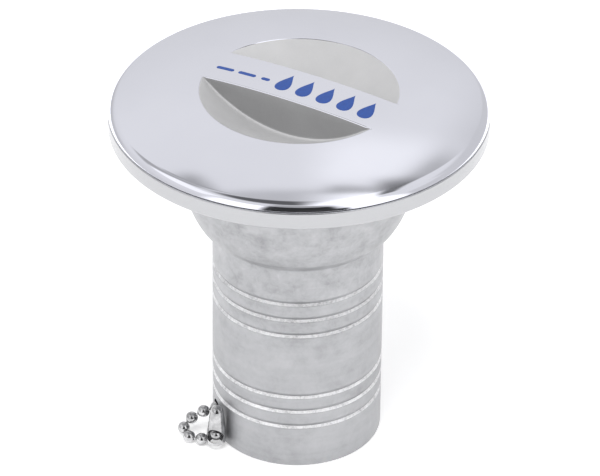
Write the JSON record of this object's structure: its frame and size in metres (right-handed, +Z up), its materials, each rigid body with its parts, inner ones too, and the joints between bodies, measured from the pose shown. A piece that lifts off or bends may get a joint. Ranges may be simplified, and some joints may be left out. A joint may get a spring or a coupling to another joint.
{
  "type": "deck fill cap",
  "caption": "Round flush deck filler for hose: domed screw cap with finger dish and grip bar, flanged neck, ringed hose tail and ball retaining chain.",
  "frame": {"origin": "centre of the hose tail's lower end face, on the filler's axis", "axes": "+Z up along the filler's axis from the hose tail to the cap; +X to the right of the side where the chain comes out on the left; -Y faces the viewer"},
  "size_m": [0.0878, 0.0878, 0.0926],
  "materials": {
    "polished_stainless": "mirror polished",
    "satin_stainless": "satin, as cast and turned",
    "nitrile_rubber": "matt black",
    "rivet_steel": "bright",
    "washer_steel": "satin",
    "strap_steel": "satin",
    "ball_steel": "bright",
    "chain_steel": "bright",
    "coupling_steel": "bright"
  },
  "bodies": {
    "filler": {"filler_body": "satin_stainless", "retaining_chain": "chain_steel", "chain_connector": "coupling_steel"},
    "swivel": {"swivel_strap": "strap_steel", "chain_end_ball": "ball_steel"},
    "cap_body": {"cap": "polished_stainless", "cap_o_ring": "nitrile_rubber", "swivel_rivet": "rivet_steel", "swivel_washer": "washer_steel"}
  },
  "joints": [
    {"name": "cap_lift", "type": "slide", "parent": "filler", "child": "swivel", "axis": [0, 0, 1], "range_m": [0, 0.009]},
    {"name": "cap_turn", "type": "hinge", "parent": "swivel", "child": "cap_body", "pos_m": [0, 0, 0.0926], "axis": [0, 0, 1], "range_deg": [0, 1080]}
  ],
  "couplings": [
    {"joint": "cap_lift", "follows": "cap_turn", "m_per_rad": 0.00047746}
  ]
}
